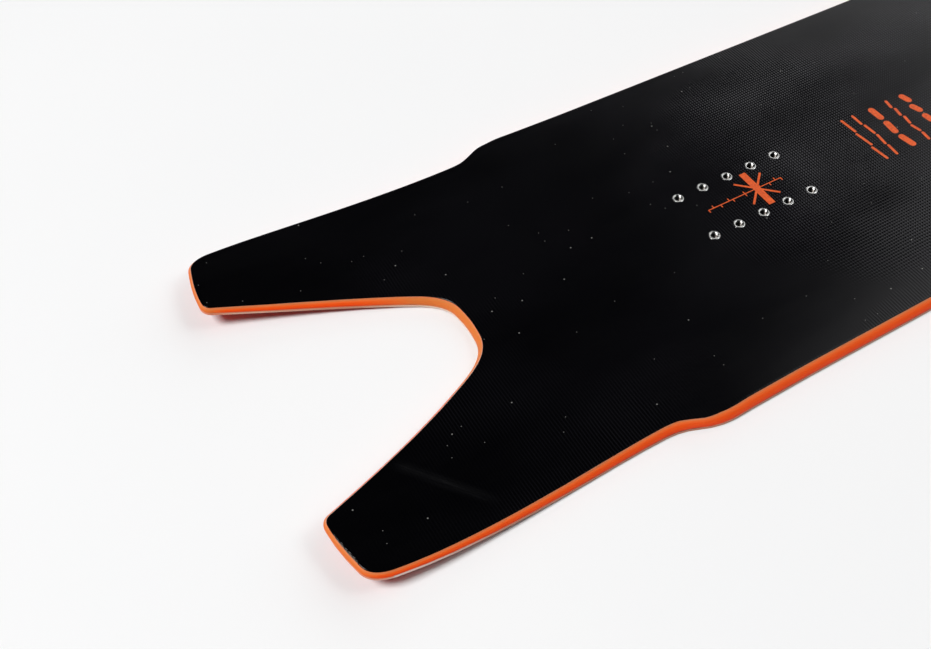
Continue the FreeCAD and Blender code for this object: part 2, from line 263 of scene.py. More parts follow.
def bevel_inset(y, height):
    """How far the bevelled rim lies inside the base outline at a height above the base."""
    share = (THICK_MIDDLE - thickness(y)) / (THICK_MIDDLE - THICK_TIPS)
    inset = RIM_INSET_MIDDLE - (RIM_INSET_MIDDLE - RIM_INSET_TIPS) * share
    off = abs(y - SIDE_STEP_Y) / SIDE_STEP_HALF_RUN
    if off < 1:
        inset -= SIDE_STEP_INSET_LOSS * (1 - off**2) ** 2
    return inset * max(0.0, height - BEVEL_START_H) / (thickness(y) - BEVEL_START_H)


# --------------------------------------------------------------- plan outline
def unit(direction):
    length = math.hypot(*direction)
    return (direction[0] / length, direction[1] / length)


def round_corner(first, second):
    """Poles of a cubic close to a circular arc between two points with directions."""
    (start, d0), (end, d1) = first, second
    d0 = unit(d0)
    d1 = unit(d1)
    turn = math.acos(max(-1.0, min(1.0, d0[0] * d1[0] + d0[1] * d1[1])))
    chord = math.hypot(end[0] - start[0], end[1] - start[1])
    handle = chord / 3
    if turn > 0.01:
        handle = 4 / 3 * math.tan(turn / 4) * chord / (2 * math.sin(turn / 2))
    return [
        start,
        (start[0] + d0[0] * handle, start[1] + d0[1] * handle),
        (end[0] - d1[0] * handle, end[1] - d1[1] * handle),
        end,
    ]


def nose_segment():
    """Quarter of the nose, in millimetres, from the tip to the widest point."""
    y_wide, x_wide, _ = SIDE_NODES[0]
    tip_y = HALF_LENGTH / MM
    return [
        (0.0, tip_y),
        (x_wide * NOSE_ROUNDNESS, tip_y),
        (x_wide, y_wide + (tip_y - y_wide) * NOSE_ROUNDNESS),
        (x_wide, y_wide),
    ]


def side_segments():
    """Cubics down the long side, in millimetres, through SIDE_NODES with their slopes."""
    pieces = []
    for (y0, x0, s0), (y1, x1, s1) in zip(SIDE_NODES, SIDE_NODES[1:]):
        third = (y1 - y0) / 3
        pieces.append(
            [(x0, y0), (x0 + s0 * third, y0 + third), (x1 - s1 * third, y1 - third), (x1, y1)]
        )
    return pieces


def tail_segments():
    """Round corners from the side's end through TAIL_STOPS to the middle of the notch."""
    y_end, x_end, slope = SIDE_NODES[-1]
    stops = [((x_end, y_end), (-slope, -1.0))] + TAIL_STOPS
    return [round_corner(first, second) for first, second in zip(stops, stops[1:])]


def point_and_normal(poles, share):
    """Point (x, y) in metres on a cubic, and the unit normal to the right of travel."""
    a = 1 - share
    b = share
    x, y = (
        a**3 * p0 + 3 * a * a * b * p1 + 3 * a * b * b * p2 + b**3 * p3
        for p0, p1, p2, p3 in zip(*poles)
    )
    run = unit(
        tuple(
            a * a * (p1 - p0) + 2 * a * b * (p2 - p1) + b * b * (p3 - p2)
            for p0, p1, p2, p3 in zip(*poles)
        )
    )
    return (x * MM, y * MM, run[1], -run[0])


def sampled(segments, step):
    """Points with normals along cubics, about one step apart, without the last end."""
    points = []
    for poles in segments:
        length = sum(math.dist(p, q) for p, q in zip(poles, poles[1:])) * MM
        steps = max(RIM_MIN_STEPS, math.ceil(length / step))
        points += [point_and_normal(poles, i / steps) for i in range(steps)]
    return points


def board_rim():
    """Closed loop (x, y, inward normal) of the base outline: nose, right side, tail, left side."""
    right = sampled([nose_segment()] + side_segments(), RIM_STEP)
    right += sampled(tail_segments(), TIP_STEP)
    middle = point_and_normal(tail_segments()[-1], 1.0)
    left = [(-x, y, -nx, ny) for x, y, nx, ny in reversed(right[1:])]
    return right + [middle] + left


# --------------------------------------------------------------- mesh helpers
def rim_verts(bm, rim, inset, height):
    """One vertex per rim point, at the inset and the height above the base that y gives."""
    verts = []
    for x, y, nx, ny in rim:
        inner_y = y + ny * inset(y)
        z = base_height(inner_y) + height(y)
        verts.append(bm.verts.new((x + nx * inset(y), inner_y, z)))
    return verts


def bridge(bm, lower, upper, closed):
    """Quads between two rows of vertices."""
    count = len(lower) if closed else len(lower) - 1
    for i in range(count):
        j = (i + 1) % len(lower)
        bm.faces.new((lower[i], lower[j], upper[j], upper[i]))


def cut_flat(bm, point, normal):
    """Cut away what lies beyond a plane, and close the cut."""
    parts = bm.verts[:] + bm.edges[:] + bm.faces[:]
    bmesh.ops.bisect_plane(
        bm, geom=parts, dist=CUT_TOLERANCE, plane_co=point, plane_no=normal, clear_outer=True
    )
    open_edges = [edge for edge in bm.edges if edge.is_boundary]
    bmesh.ops.holes_fill(bm, edges=open_edges)


def add_piece(bm, name, material, replaced=()):
    """Clean a mesh, give it its material and hang it on the board."""
    bmesh.ops.remove_doubles(bm, verts=bm.verts[:], dist=WELD_DISTANCE)
    bmesh.ops.dissolve_degenerate(bm, edges=bm.edges[:], dist=WELD_DISTANCE)
    bmesh.ops.recalc_face_normals(bm, faces=bm.faces[:])
    for face in bm.faces:
        face.smooth = True
    for edge in bm.edges:
        edge.smooth = len(edge.link_faces) == 2 and edge.calc_face_angle() < SHARP_ANGLE
    mesh = bpy.data.meshes.new(name)
    bm.to_mesh(mesh)
    bm.free()
    mesh.materials.append(material)
    obj = bpy.data.objects.new(name, mesh)
    bpy.context.scene.collection.objects.link(obj)
    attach(obj, "root")
    if replaced:
        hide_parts(*replaced)
    return obj


# ------------------------------------------------------------- node helpers
def feed(tree, socket, value):
    """Link another node's socket to this one, or set a plain value on it."""
    if isinstance(value, bpy.types.NodeSocket):
        tree.links.new(value, socket)
    else:
        socket.default_value = value


def node(tree, kind, inputs=(), **settings):
    """New shader node; inputs are (name or number, value or socket) pairs."""
    made = tree.nodes.new("ShaderNode" + kind)
    for key, value in settings.items():
        setattr(made, key, value)
    for key, value in inputs:
        feed(tree, made.inputs[key], value)
    return made


def stretched(tree, source, scale):
    """Vector with each part multiplied by its own number."""
    scaled = node(tree, "VectorMath", [(0, source), (1, scale)], operation="MULTIPLY")
    return scaled.outputs["Vector"]


def place(tree, scale):
    """Position on the board in metres, stretched."""
    return stretched(tree, node(tree, "TexCoord").outputs["Object"], scale)


def along_rim(tree, scale):
    """Distance along the rim and up the rim's profile in metres, stretched."""
    source = node(tree, "Attribute", attribute_name="along").outputs["Vector"]
    return stretched(tree, source, scale)


def noise(tree, vector, detail=3.0, rough=0.5):
    inputs = [("Vector", vector), ("Scale", 1.0), ("Detail", detail), ("Roughness", rough)]
    return node(tree, "TexNoise", inputs).outputs["Fac"]


def remap(tree, value, low, high, new_low=0.0, new_high=1.0):
    """Clamped linear map of a value from one range to another."""
    inputs = [(0, value), (1, low), (2, high), (3, new_low), (4, new_high)]
    return node(tree, "MapRange", inputs).outputs["Result"]


def maths(tree, operation, first, second=0.0):
    return node(tree, "Math", [(0, first), (1, second)], operation=operation).outputs[0]


def blend(tree, share, first, second):
    """Colour between two colours."""
    made = node(tree, "Mix", [(0, share), (6, first), (7, second)], data_type="RGBA")
    return made.outputs[2]


def bump(tree, height, distance, under=None):
    inputs = [("Height", height), ("Distance", distance), ("Strength", 1.0)]
    if under:
        inputs.append(("Normal", under))
    return node(tree, "Bump", inputs).outputs["Normal"]


def axis(tree, number):
    """One coordinate of the position in metres."""
    source = node(tree, "TexCoord").outputs["Object"]
    return node(tree, "SeparateXYZ", [(0, source)]).outputs[number]


def ramp_along(tree, places, low=0.0, high=1.0):
    """Clamped ramp along the board, between two places given as y."""
    return remap(tree, axis(tree, 1), places[0], places[1], low, high)


def ramp_inwards(tree, distances):
    """Clamped ramp up towards the centreline, between two distances from it."""
    return remap(tree, maths(tree, "ABSOLUTE", axis(tree, 0)), distances[0], distances[1])


def ribs(tree, coordinate, pitch):
    """Sine ribs, from -1 to 1, across a coordinate."""
    return maths(tree, "SINE", maths(tree, "MULTIPLY", coordinate, 2 * math.pi / pitch))


def specks(tree, cells_per_metre, radius, chance):
    """Mask of small round specks scattered at random."""
    vector = place(tree, (cells_per_metre, cells_per_metre, cells_per_metre))
    cells = node(tree, "TexVoronoi", [("Vector", vector), ("Scale", 1.0)], voronoi_dimensions="2D")
    near = remap(tree, cells.outputs["Distance"], radius * cells_per_metre, 0.0)
    pick = node(tree, "SeparateColor", [(0, cells.outputs["Color"])]).outputs[0]
    chosen = maths(tree, "LESS_THAN", pick, chance)
    return maths(tree, "MULTIPLY", near, chosen)


def colour(red, green, blue):
    return (red, green, blue, 1.0)


def material(name, **fixed):
    """New material, its node tree and its Principled shader; fixed values go on the shader."""
    made = bpy.data.materials.new(name)
    made.use_nodes = True
    shader = made.node_tree.nodes["Principled BSDF"]
    for key, value in fixed.items():
        shader.inputs[key.replace("_", " ")].default_value = value
    return made, made.node_tree, shader


# ------------------------------------------------------------------ materials
def weave_height(tree):
    """Print-through of the glass cloth: transverse ribs, and a cross-hatch down the middle."""
    bend = noise(tree, place(tree, (30, 30, 30)))
    wander = remap(tree, bend, 0.3, 0.7, -WEAVE_WANDER, WEAVE_WANDER)
    transverse = ribs(tree, maths(tree, "ADD", axis(tree, 1), wander), WEAVE_PITCH_ALONG)
    lengthwise = ribs(tree, maths(tree, "ADD", axis(tree, 0), wander), WEAVE_PITCH_ACROSS)
    centre = ramp_inwards(tree, HATCH_HALF_W)
    crossed = maths(tree, "MULTIPLY", centre, ramp_along(tree, HATCH_Y))
    hatch = maths(tree, "MULTIPLY", crossed, lengthwise)
    patchy = remap(tree, noise(tree, place(tree, (14, 9, 14))), 0.35, 0.65, 0.5, 1.0)
    behind = maths(tree, "MULTIPLY", patchy, ramp_along(tree, WEAVE_CLEAR_Y, 0.42, 1.0))
    strong = maths(tree, "MULTIPLY", behind, ramp_along(tree, WEAVE_TIPS_Y, 0.45, 1.0))
    return maths(tree, "MULTIPLY", maths(tree, "ADD", transverse, hatch), strong)


def scuff_mask(tree):
    """One rubbed streak across the right tail tip."""
    run_x, run_y = unit(SCUFF_RUN)
    dx = maths(tree, "SUBTRACT", axis(tree, 0), SCUFF_START[0])
    dy = maths(tree, "SUBTRACT", axis(tree, 1), SCUFF_START[1])
    along_x = maths(tree, "MULTIPLY", dx, run_x)
    along_y = maths(tree, "MULTIPLY", dy, run_y)
    far = maths(tree, "ADD", along_x, along_y)
    beside_x = maths(tree, "MULTIPLY", dx, run_y)
    beside_y = maths(tree, "MULTIPLY", dy, run_x)
    off = maths(tree, "SUBTRACT", beside_x, beside_y)
    width = remap(tree, maths(tree, "ABSOLUTE", off), SCUFF_HALF_W, 0.0)
    begin = remap(tree, far, *SCUFF_BEGIN)
    end = remap(tree, far, *SCUFF_END)
    lengthwise = maths(tree, "MULTIPLY", far, SCUFF_GRAIN_ALONG)
    sideways = maths(tree, "MULTIPLY", off, SCUFF_GRAIN_BESIDE)
    drawn_out = node(tree, "CombineXYZ", [(0, lengthwise), (1, sideways)]).outputs[0]
    grain = remap(tree, noise(tree, drawn_out), 0.3, 0.7, 0.2, 1.0)
    shape = maths(tree, "MULTIPLY", width, maths(tree, "MULTIPLY", begin, end))
    return maths(tree, "MULTIPLY", shape, grain)


def cut_edge(tree, low, high):
    """Mask of the faces that lean outwards at the rim, where the sheets' cut edges show."""
    normal = node(tree, "NewGeometry").outputs["Normal"]
    upright = node(tree, "SeparateXYZ", [(0, normal)]).outputs[2]
    return remap(tree, maths(tree, "ABSOLUTE", upright), high, low)


def topsheet_material():
    """Black plastic sheet with the cloth's print-through, a painted sheen on the weave's crests,
    dust specks and one scuff.
    """
    made, tree, shader = material("black_polyamide", Specular_IOR_Level=0.3)
    mottle = noise(tree, place(tree, (25, 25, 25)), detail=4.0)
    base = blend(tree, mottle, colour(0.0004, 0.0004, 0.0007), colour(0.0008, 0.0008, 0.0012))
    weave = weave_height(tree)
    # Painted sheen: the weave's crests are coloured lighter, standing in for their reflection.
    crest_sheen = remap(tree, weave, 0.1, 1.3)
    sheen_on_weave = blend(tree, crest_sheen, base, colour(0.028, 0.027, 0.033))
    large = specks(tree, 45, LARGE_SPECK_R, 0.15)
    small = specks(tree, 120, SMALL_SPECK_R, 0.05)
    dust = maths(tree, "MAXIMUM", large, small)
    dusty = blend(tree, dust, sheen_on_weave, colour(0.30, 0.30, 0.28))
    scuff = scuff_mask(tree)
    scuffed = blend(tree, scuff, dusty, colour(0.004, 0.004, 0.0045))
    feed(tree, shader.inputs["Base Color"], scuffed)
    smears = noise(tree, place(tree, (60, 11, 60)), detail=5.0, rough=0.6)
    rough = remap(tree, smears, 0.3, 0.7, 0.15, 0.19)
    rubbed = maths(tree, "MULTIPLY", scuff, 0.1)
    feed(tree, shader.inputs["Roughness"], maths(tree, "ADD", rough, rubbed))
    grain = noise(tree, place(tree, (2600, 2600, 2600)), detail=2.0)
    fine = bump(tree, grain, 0.002 * MM)
    feed(tree, shader.inputs["Normal"], bump(tree, weave, 0.03 * MM, under=fine))
    return made


def print_material():
    """Orange ink that lies over the same weave as the topsheet."""
    made, tree, shader = material("orange_ink", Specular_IOR_Level=0.35)
    worn = noise(tree, place(tree, (700, 700, 700)), detail=4.0, rough=0.6)
    wear = remap(tree, worn, 0.35, 0.7)
    base = blend(tree, wear, colour(0.80, 0.115, 0.012), colour(0.52, 0.06, 0.008))
    feed(tree, shader.inputs["Base Color"], base)
    feed(tree, shader.inputs["Roughness"], remap(tree, worn, 0.3, 0.7, 0.4, 0.55))
    feed(tree, shader.inputs["Normal"], bump(tree, weave_height(tree), 0.015 * MM))
    return made


def notch_backlight_and_tip_tint(tree):
    """Mask of the sidewall's painted backlight at the notch's end, and of its paler brown at the
    tips' ends.
    """
    ahead = ramp_along(tree, BACKLIT_NOTCH_Y, 0.0, 0.6)
    notch_end = maths(tree, "MULTIPLY", ahead, ramp_inwards(tree, BACKLIT_NOTCH_HALF_W))
    tips = ramp_along(tree, TINTED_TIPS_Y, 0.0, 0.5)
    return maths(tree, "MAXIMUM", notch_end, tips)


def sidewall_material():
    """Sanded orange plastic with painted light: deeper low down and paler towards the top, with a
    painted highlight along the top; also paler where it is worn, with painted backlight at the
    notch's end and a paler brown at the tips' ends.
    """
    made, tree, shader = material(
        "orange_sidewall",
        Specular_IOR_Level=0.18,
        Subsurface_Weight=0.12,
        Subsurface_Scale=1.5 * MM,
    )
    mottle = noise(tree, place(tree, (90, 90, 90)), detail=4.0)
    sanding = noise(tree, along_rim(tree, (260, 5200, 1)), detail=3.0)
    height = node(tree, "SeparateXYZ", [(0, along_rim(tree, (1, 1, 1)))]).outputs[1]
    # Painted shade and light: deeper orange low on the sidewall, lighter high up, as if lit from
    # above.
    low = blend(tree, mottle, colour(0.88, 0.044, 0.001), colour(0.95, 0.058, 0.002))
    high = blend(tree, mottle, colour(0.96, 0.078, 0.002), colour(0.99, 0.105, 0.005))
    base = blend(tree, remap(tree, height, 0.0, 5 * MM), low, high)
    # Painted highlight along the top of the rounded sidewall.
    top_highlight = remap(tree, height, 5.5 * MM, 9 * MM, 0.0, 0.7)
    worn = remap(tree, sanding, 0.5, 0.75, 0.0, 0.3)
    # Paler where the painted highlight lies and where the sanding has worn the plastic.
    pale = maths(tree, "MAXIMUM", top_highlight, worn)
    orange = blend(tree, pale, base, colour(0.99, 0.24, 0.06))
    # Painted backlight: paler yellowish orange at the notch's end; the same paler brown at the
    # tips' ends.
    backlit_and_tinted = blend(tree, notch_backlight_and_tip_tint(tree), orange, colour(0.62, 0.26, 0.06))
    feed(tree, shader.inputs["Base Color"], backlit_and_tinted)
    feed(tree, shader.inputs["Roughness"], remap(tree, sanding, 0.3, 0.7, 0.38, 0.55))
    feed(tree, shader.inputs["Normal"], bump(tree, sanding, 0.004 * MM))
    return made


def fibreglass_material():
    made, tree, shader = material("glass_laminate", Coat_Weight=0.3, Coat_Roughness=0.2)
    x_tows = ribs(tree, axis(tree, 0), 2.3 * MM)
    y_tows = ribs(tree, axis(tree, 1), 2.05 * MM)
    weave = remap(tree, maths(tree, "MULTIPLY", x_tows, y_tows), -1.0, 1.0)
    strands = noise(tree, place(tree, (1500, 300, 1500)), detail=3.0)
    mixed = maths(tree, "MULTIPLY", maths(tree, "ADD", weave, strands), 0.5)
    base = blend(tree, mixed, colour(0.13, 0.10, 0.08), colour(0.26, 0.21, 0.17))
    tinted = blend(tree, strands, colour(0.74, 0.16, 0.04), colour(0.84, 0.27, 0.10))
    feed(tree, shader.inputs["Base Color"], blend(tree, cut_edge(tree, 0.8, 0.95), base, tinted))
    feed(tree, shader.inputs["Roughness"], remap(tree, strands, 0.3, 0.7, 0.3, 0.5))
    feed(tree, shader.inputs["Normal"], bump(tree, mixed, 0.02 * MM))
    return made


def base_material():
    """Stone-ground polyethylene, orange-red below and pale at its cut edge."""
    made, tree, shader = material(
        "running_base",
        Specular_IOR_Level=0.35,
        Subsurface_Weight=0.08,
        Subsurface_Scale=1.0 * MM,
    )
    cloudy = noise(tree, place(tree, (35, 8, 35)), detail=4.0)
    red = blend(tree, cloudy, colour(0.54, 0.025, 0.010), colour(0.66, 0.045, 0.018))
    pale = blend(tree, cloudy, colour(0.76, 0.44, 0.32), colour(0.84, 0.54, 0.40))
    side_rim = ramp_along(tree, SIDE_RIM_Y, 0.0, 0.8)
    stained = blend(tree, side_rim, pale, colour(0.50, 0.17, 0.09))
    ahead = ramp_along(tree, CREAMY_NOTCH_Y)
    notch_end = maths(tree, "MULTIPLY", ahead, ramp_inwards(tree, CREAMY_NOTCH_HALF_W))
    creamy = blend(tree, notch_end, stained, colour(0.88, 0.72, 0.58))
    tips = ramp_along(tree, ORANGE_TIPS_Y, 0.0, 0.75)
    rim = blend(tree, tips, creamy, colour(0.80, 0.16, 0.04))
    feed(tree, shader.inputs["Base Color"], blend(tree, cut_edge(tree, 0.7, 0.9), red, rim))
    grooves = noise(tree, place(tree, (2400, 18, 2400)), detail=2.0)
    slanted = maths(tree, "ADD", axis(tree, 0), maths(tree, "MULTIPLY", axis(tree, 1), 0.25))
    cross = ribs(tree, slanted, 1.1 * MM)
    ground = maths(tree, "ADD", grooves, maths(tree, "MULTIPLY", cross, 0.15))
    feed(tree, shader.inputs["Roughness"], remap(tree, grooves, 0.3, 0.7, 0.35, 0.55))
    feed(tree, shader.inputs["Normal"], bump(tree, ground, 0.005 * MM))
    return made


def steel_material():
    """Hardened edge steel, ground along the board, with rust patches and, ahead of the tips, a
    painted reflection: brown along the sides for the dark, orange-tinted floor beside the edge.
    """
    made, tree, shader = material("ground_edge_steel", Metallic=1.0)
    scratches = noise(tree, place(tree, (3000, 60, 3000)), detail=3.0)
    stain = noise(tree, place(tree, (70, 25, 70)), detail=4.0, rough=0.6)
    clean = blend(tree, scratches, colour(0.52, 0.42, 0.37), colour(0.70, 0.57, 0.50))
    # Painted reflection: brown along the sides ahead of the tips, for the dark, orange-tinted
    # floor by the edge; the stain noise adds real rust patches.
    ahead = ramp_along(tree, SIDE_RIM_Y, 0.0, 0.9)
    rust_and_reflection = maths(tree, "MAXIMUM", ahead, remap(tree, stain, 0.68, 0.8, 0.0, 0.5))
    feed(tree, shader.inputs["Base Color"], blend(tree, rust_and_reflection, clean, colour(0.42, 0.16, 0.09)))
    feed(tree, shader.inputs["Roughness"], remap(tree, scratches, 0.3, 0.7, 0.22, 0.42))
    feed(tree, shader.inputs["Normal"], bump(tree, scratches, 0.003 * MM))
    return made


def insert_material():
    """Turned stainless steel with fine tool marks, with painted shade inside the bore."""
    made, tree, shader = material("turned_stainless", Metallic=1.0)
    marks = noise(tree, place(tree, (1800, 1800, 5200)), detail=2.0)
    bright = blend(tree, marks, colour(0.70, 0.70, 0.69), colour(0.86, 0.86, 0.84))
    # Painted shade: the bore turns near black below its mouth.
    depth = remap(tree, axis(tree, 2), *INSERT_SHADE_Z)
    base = blend(tree, depth, bright, colour(0.06, 0.055, 0.05))
    feed(tree, shader.inputs["Base Color"], base)
    feed(tree, shader.inputs["Roughness"], remap(tree, marks, 0.3, 0.7, 0.16, 0.32))
    feed(tree, shader.inputs["Normal"], bump(tree, marks, 0.003 * MM))
    return made


def rubber_material():
    made, tree, shader = material("damping_rubber", Specular_IOR_Level=0.3)
    grain = noise(tree, place(tree, (1800, 1800, 1800)), detail=3.0)
    base = blend(tree, grain, colour(0.01, 0.01, 0.01), colour(0.03, 0.03, 0.03))
    feed(tree, shader.inputs["Base Color"], base)
    feed(tree, shader.inputs["Roughness"], remap(tree, grain, 0.3, 0.7, 0.6, 0.8))
    feed(tree, shader.inputs["Normal"], bump(tree, grain, 0.02 * MM))
    return made


def wood_material(name, pale, dark, flecks):
    """Planed wood with its grain along the board."""
    made, tree, shader = material(name, Specular_IOR_Level=0.3)
    rings = noise(tree, place(tree, (260, 5, 420)), detail=5.0, rough=0.55)
    pores = noise(tree, place(tree, (2600, 90, 2600)), detail=2.0)
    base = blend(tree, remap(tree, rings, 0.35, 0.65), pale, dark)
    dots = remap(tree, pores, 0.60, 0.72, 0.0, flecks)
    dark_dot = tuple(0.45 * value for value in dark[:3]) + (1.0,)
    feed(tree, shader.inputs["Base Color"], blend(tree, dots, base, dark_dot))
    feed(tree, shader.inputs["Roughness"], remap(tree, pores, 0.3, 0.7, 0.5, 0.7))
    feed(tree, shader.inputs["Normal"], bump(tree, maths(tree, "ADD", pores, rings), 0.02 * MM))
    return made


def floor_material():
    made, tree, shader = material("studio_floor", Specular_IOR_Level=0.15)
    cloud = noise(tree, place(tree, (3, 3, 3)), detail=3.0)
    base = blend(tree, cloud, colour(0.90, 0.90, 0.905), colour(0.92, 0.92, 0.92))
    feed(tree, shader.inputs["Base Color"], base)
    feed(tree, shader.inputs["Roughness"], remap(tree, cloud, 0.3, 0.7, 0.6, 0.7))
    return made


# ------------------------------------------------------------------- topsheet
def insert_positions(pack_y):
    """Centres (x, y) of a pack's ten inserts."""
    half_run = INSERT_PITCH * (INSERTS_PER_ROW - 1) / 2
    return [
        (row_x, pack_y - half_run + i * INSERT_PITCH)
        for row_x in (-INSERT_ROW_X, INSERT_ROW_X)
        for i in range(INSERTS_PER_ROW)
    ]


def circle(x, y, radius):
    turns = (2 * math.pi * i / HOLE_SIDES for i in range(HOLE_SIDES))
    return [(x + radius * math.cos(turn), y + radius * math.sin(turn)) for turn in turns]


def grid_inside(rim, holes):
    """Square grid of points that lie clear of the rim and of the holes."""
    tree = KDTree(len(rim))
    for index, (x, y, _, _) in enumerate(rim):
        tree.insert((x, y, 0.0), index)
    tree.balance()
    points = []
    half_columns = round(SIDE_NODES[0][1] * MM / CAP_GRID)
    half_rows = round(HALF_LENGTH / CAP_GRID)
    columns = range(-half_columns, half_columns + 1)
    rows = range(-half_rows, half_rows + 1)
    for x, y in ((column * CAP_GRID, row * CAP_GRID) for row in rows for column in columns):
        near, index, distance = tree.find((x, y, 0.0))
        _, _, nx, ny = rim[index]
        inside = (x - near.x) * nx + (y - near.y) * ny > 0
        free = all(math.dist((x, y), hole) > INSERT_FLANGE_R for hole in holes)
        if inside and distance > GRID_MARGIN + RIM_INSET_MIDDLE and free:
            points.append((x, y))
    return points


def chip_depth(x, y):
    """Depth of the small chips knocked out of the topsheet's rim at the right tail tip."""
    depth = 0.0
    for chip_x, half_width, deepest in CHIPS:
        reach = abs(x - chip_x) / half_width
        if reach < 1 and y < CORE_TAIL_END_Y:
            depth = max(depth, deepest * math.sqrt(1 - reach**2))
    return depth


def topsheet_rows(bm, rim):
    """Rows of vertices up the topsheet's edge, rounded at the top."""

    def row(below_top, extra):
        def inset(y):
            return bevel_inset(y, thickness(y) - below_top) + extra

        return rim_verts(bm, rim, inset, lambda y: thickness(y) - below_top)

    rows = [row(TOPSHEET_T, 0.0)]
    for i in range(TOPSHEET_EDGE_STEPS + 1):
        turn = math.pi / 2 * i / TOPSHEET_EDGE_STEPS
        below = TOPSHEET_EDGE_R * (1 - math.sin(turn))
        rows.append(row(below, TOPSHEET_EDGE_R * (1 - math.cos(turn))))
    rows.append(row(0.0, TOPSHEET_EDGE_R + TOPSHEET_FLAT_RING))
    for verts in rows:
        for vert, (x, y, nx, ny) in zip(verts, rim):
            depth = chip_depth(x, y)
            vert.co.x += nx * depth
            vert.co.y += ny * depth
    return rows


def loop_edges(first, count):
    """Edges round a closed loop of points that are numbered from first."""
    return [(first + i, first + (i + 1) % count) for i in range(count)]


def flat_plan(edge_points, centres, grid):
    """Points of the sheet's flat, which are its edge, the holes and the grid, and its edges."""
    points = list(edge_points)
    edges = loop_edges(0, len(points))
    for x, y in centres:
        edges += loop_edges(len(points), HOLE_SIDES)
        points += [Vector(point) for point in circle(x, y, INSERT_BARREL_R + HOLE_GAP)]
    points += [Vector(point) for point in grid]
    return points, edges


def flat_triangles(points, edges, centres):
    """Triangles of point numbers that cover the flat outside the holes."""
    _, _, triangles, origins, _, _ = delaunay_2d_cdt(points, edges, [], 1, CUT_TOLERANCE)
    kept = []
    for triangle in triangles:
        corners = [origins[i][0] for i in triangle]
        middle = sum((points[i] for i in corners), Vector((0, 0))) / 3
        if all(math.dist(middle, centre) >= INSERT_BARREL_R for centre in centres):
            kept.append(corners)
    return kept


def topsheet(rim, finish):
    """Black upper sheet with its insert holes."""
    bm = bmesh.new()
    rows = topsheet_rows(bm, rim)
    for lower, upper in zip(rows, rows[1:]):
        bridge(bm, lower, upper, closed=True)
    centres = insert_positions(REAR_PACK_Y) + insert_positions(FRONT_PACK_Y)
    edge_points = [vert.co.xy for vert in rows[-1]]
    points, edges = flat_plan(edge_points, centres, grid_inside(rim, centres))
    count = len(edge_points)
    inner = [(p.x, p.y, base_height(p.y) + thickness(p.y)) for p in points[count:]]
    top = rows[-1] + [bm.verts.new((x, y, z)) for x, y, z in inner]
    low = rows[0] + [bm.verts.new((x, y, z - TOPSHEET_T)) for x, y, z in inner]
    for corners in flat_triangles(points, edges, centres):
        bm.faces.new([top[i] for i in corners])
        bm.faces.new([low[i] for i in reversed(corners)])
    for index in range(len(centres)):
        first = count + index * HOLE_SIDES
        last = first + HOLE_SIDES
        bridge(bm, low[first:last], top[first:last], closed=True)
    return add_piece(bm, "topsheet_skin", finish, ["topsheet"])


# ------------------------------------------------------------------ sidewalls
def inner_point(x, y, nx, ny):
    """Point of the sidewall's inner wall behind a rim point."""
    px = x + nx * SIDEWALL_W
    py = y + ny * SIDEWALL_W
    side_end_y = SIDE_NODES[-1][0] * MM
    if abs(x) > TIP_INNER_X and y < side_end_y:
        px = math.copysign(min(abs(x), TIP_OUTER_X), x)
        py = max(y, CORE_TAIL_END_Y)
    elif py < CORE_TAIL_END_Y:
        px = math.copysign(TIP_INNER_X, x)
        py = CORE_TAIL_END_Y
    return px, py


def sidewall_bottom(along_steel):
    """Height of the sidewall's underside by y: it steps up over the steel edge's foil."""
    return lambda y: SIDEWALL_BOTTOM + (FOIL_T if along_steel and y > EDGE_END_Y else 0.0)


def profile_rows(bm, rim, bottom):
    """Rows up the sidewall's rounded outer face, with the distances that drive its grain."""
    layer = bm.verts.layers.float_vector.new("along")
    rows = []
    for i in range(SIDEWALL_STEPS + 1):
        share = i / SIDEWALL_STEPS

        def top(y):
            return thickness(y) - TOPSHEET_T - TOP_GLASS_T

        def height(y):
            return bottom(y) + (top(y) - bottom(y)) * share

        def inset(y):
            return bevel_inset(y, top(y)) * share**SIDEWALL_ROUNDING

        row = rim_verts(bm, rim, inset, height)
        travelled = 0.0
        for index, vert in enumerate(row):
            if index:
                travelled += (vert.co - row[index - 1].co).length
            vert[layer] = (travelled, share * THICK_MIDDLE, 0.0)
        rows.append(row)
    return rows


def sidewall(rim, side, finish, along_steel):
    """Closed band: rounded outer face, flat top and bottom, upright inner wall.

    The long sides lie over the steel edges' foil and end at the nose spacer.
    """
    bm = bmesh.new()
    bottom = sidewall_bottom(along_steel)
    rows = profile_rows(bm, rim, bottom)
    inner_low = []
    inner_high = []
    for point in rim:
        px, py = inner_point(*point)
        inner_low.append(bm.verts.new((px, py, base_height(py) + bottom(point[1]))))
        top_z = base_height(py) + thickness(py) - TOPSHEET_T - TOP_GLASS_T
        inner_high.append(bm.verts.new((px, py, top_z)))
    ring = rows + [inner_high, inner_low]
    for lower, upper in zip(ring, ring[1:] + ring[:1]):
        bridge(bm, lower, upper, closed=False)
    for end in (0, -1):
        bm.faces.new([row[end] for row in ring])
    if along_steel:
        cut_flat(bm, (0, SPACER_START_Y, 0), (0, 1, 0))
    node_name = "sidewall_" + side
    return add_piece(bm, node_name + "_sanded", finish, [node_name])


def nose_spacer(rim, finish):
    """Solid plastic nose: the sidewall's rounded face with the whole width filled behind it."""
    bm = bmesh.new()
    rows = profile_rows(bm, rim, sidewall_bottom(False))
    for lower, upper in zip(rows, rows[1:]):
        bridge(bm, lower, upper, closed=False)
    for row in (rows[0], rows[-1]):
        half = len(row) // 2
        for i in range(half):
            left = (row[half - i], row[max(half - i - 1, 0)])
            right = (row[half + i], row[half + i + 1])
            corners = [left[0], left[1], right[1], right[0]]
            bm.faces.new(corners if i else corners[:3])
    bm.faces.new([row[0] for row in rows] + [row[-1] for row in reversed(rows)])
    cut_flat(bm, (0, SPACER_START_Y, 0), (0, -1, 0))
    return add_piece(bm, "nose_spacer_moulded", finish, ["nose_spacer"])


